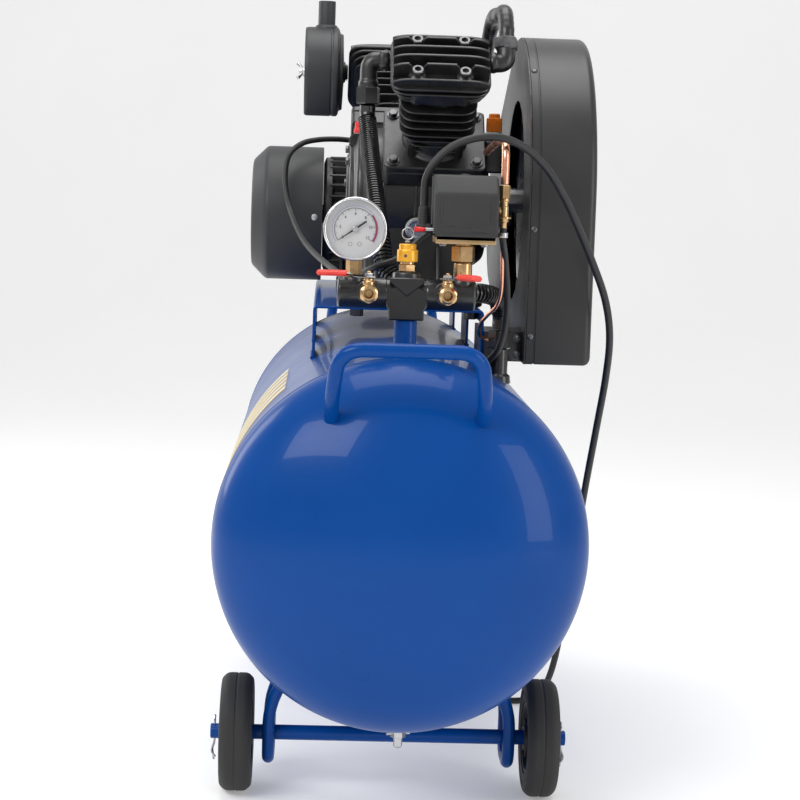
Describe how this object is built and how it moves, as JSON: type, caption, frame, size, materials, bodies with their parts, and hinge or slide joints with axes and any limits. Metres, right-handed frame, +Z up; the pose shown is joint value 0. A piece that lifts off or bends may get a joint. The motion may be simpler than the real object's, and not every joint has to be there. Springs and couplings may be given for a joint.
{
  "type": "belt-driven air compressor",
  "caption": "Wheeled air tank carrying a belt-driven V-twin piston pump and electric motor, with belt guard, pressure switch, gauge and outlet ball valves.",
  "frame": {"origin": "on the floor under the middle of the compressor: X = 0 is the middle of its width, Y = 0 the middle of the tank's length, Z = 0 the floor that the wheels and rubber feet stand on", "axes": "+X to the right when facing the wheel end (the belt guard side), +Y from the wheel and gauge end along the tank towards the motor end, +Z up"},
  "size_m": [0.425, 1.0132, 0.8665],
  "materials": {
    "blue_paint": "gloss royal-blue enamel",
    "black_paint": "gloss to satin black paint",
    "cast_iron_black": "satin black paint on sand-cast iron",
    "black_rubber": "matt black rubber",
    "black_plastic": "matt dark grey moulded plastic",
    "zinc_steel": "yellow zinc plating",
    "brass": "machined brass",
    "copper": "bright drawn copper tube",
    "chrome": "polished chrome",
    "steel": "machined steel",
    "aluminium": "cast and machined aluminium",
    "red_plastic": "red moulded plastic",
    "orange_plastic": "orange moulded plastic",
    "yellow_anodised": "yellow anodised"
  },
  "bodies": {
    "frame": {"air_filter": "black_paint", "axle": "blue_paint", "ball_valve_left": "brass", "ball_valve_right": "brass", "belt_guard_back": "black_paint", "belt_guard_cover": "black_paint", "check_valve": "black_paint", "cord_coil": "black_rubber", "cord_gland": "black_plastic", "crankcase": "cast_iron_black", "crossover_pipe": "black_paint", "deck": "blue_paint", "discharge_tube": "black_paint", "drive_belt": "black_rubber", "fan_cover": "black_paint", "front_cylinder": "cast_iron_black", "front_handle": "blue_paint", "front_head": "cast_iron_black", "front_leg_left": "blue_paint", "front_leg_right": "blue_paint", "gauge_case": "chrome", "left_elbow": "cast_iron_black", "mains_cord": "black_rubber", "manifold": "black_paint", "motor_body": "black_paint", "motor_lead": "black_rubber", "plug": "black_rubber", "rear_cylinder": "cast_iron_black", "rear_handle": "blue_paint", "rear_head": "cast_iron_black", "rear_leg_left": "blue_paint", "rear_leg_right": "blue_paint", "right_elbow": "cast_iron_black", "riser_pipe": "blue_paint", "rubber_foot_left": "black_rubber", "rubber_foot_right": "black_rubber", "safety_valve": "yellow_anodised", "switch_base": "zinc_steel", "switch_cover": "black_plastic", "switch_fitting": "brass", "tank": "blue_paint", "unloader_tube": "copper", "unloader_valve": "brass"},
    "wheel_left": {"wheel_hub_left": "black_plastic", "wheel_tyre_left": "black_rubber"},
    "wheel_right": {"wheel_hub_right": "black_plastic", "wheel_tyre_right": "black_rubber"},
    "crank": {"crankshaft": "steel", "flywheel": "cast_iron_black"},
    "motor_rotor": {"motor_shaft": "steel", "motor_pulley": "steel", "motor_fan": "black_plastic"},
    "front_piston": {"front_piston": "aluminium"},
    "rear_piston": {"rear_piston": "aluminium"},
    "needle": {"gauge_needle": "black_paint"},
    "pull_ring": {"safety_ring": "steel"},
    "lever_left": {"valve_lever_left": "red_plastic"},
    "lever_right": {"valve_lever_right": "red_plastic"},
    "switch_lever": {"switch_lever": "red_plastic"},
    "oil_cap": {"oil_cap": "orange_plastic"}
  },
  "joints": [
    {"name": "wheel_left_spin", "type": "hinge", "parent": "frame", "child": "wheel_left", "pos_m": [-0.17075, -0.237, 0.0625], "axis": [1, 0, 0], "continuous": true},
    {"name": "wheel_right_spin", "type": "hinge", "parent": "frame", "child": "wheel_right", "pos_m": [0.15325, -0.237, 0.0625], "axis": [1, 0, 0], "continuous": true},
    {"name": "crank_spin", "type": "hinge", "parent": "frame", "child": "crank", "pos_m": [0.159, 0, 0.634], "axis": [1, 0, 0], "continuous": true},
    {"name": "motor_spin", "type": "hinge", "parent": "frame", "child": "motor_rotor", "pos_m": [0.159, 0.3, 0.606], "axis": [1, 0, 0], "continuous": true},
    {"name": "front_piston_slide", "type": "slide", "parent": "frame", "child": "front_piston", "axis": [0, -0.7071, 0.7071], "range_m": [-0.0376, 0.0064]},
    {"name": "rear_piston_slide", "type": "slide", "parent": "frame", "child": "rear_piston", "axis": [0, 0.7071, 0.7071], "range_m": [-0.0376, 0.0064]},
    {"name": "gauge_needle_turn", "type": "hinge", "parent": "frame", "child": "needle", "pos_m": [-0.06175, -0.352, 0.604], "axis": [0, 1, 0], "range_deg": [0, 250]},
    {"name": "safety_ring_pull", "type": "slide", "parent": "frame", "child": "pull_ring", "axis": [0, 0, 1], "range_m": [0, 0.004]},
    {"name": "valve_lever_left_turn", "type": "hinge", "parent": "frame", "child": "lever_left", "pos_m": [-0.04725, -0.3735, 0.555], "axis": [0, 0, 1], "range_deg": [0, 90]},
    {"name": "valve_lever_right_turn", "type": "hinge", "parent": "frame", "child": "lever_right", "pos_m": [0.02975, -0.3735, 0.555], "axis": [0, 0, 1], "range_deg": [-32, 58]},
    {"name": "switch_lever_pull", "type": "slide", "parent": "frame", "child": "switch_lever", "axis": [0, 0, 1], "range_m": [0, 0.006]},
    {"name": "oil_cap_pull", "type": "slide", "parent": "frame", "child": "oil_cap", "axis": [0, 0, 1], "range_m": [0, 0.012]}
  ],
  "couplings": [
    {"joint": "motor_spin", "follows": "crank_spin", "ratio": 4.309}
  ]
}
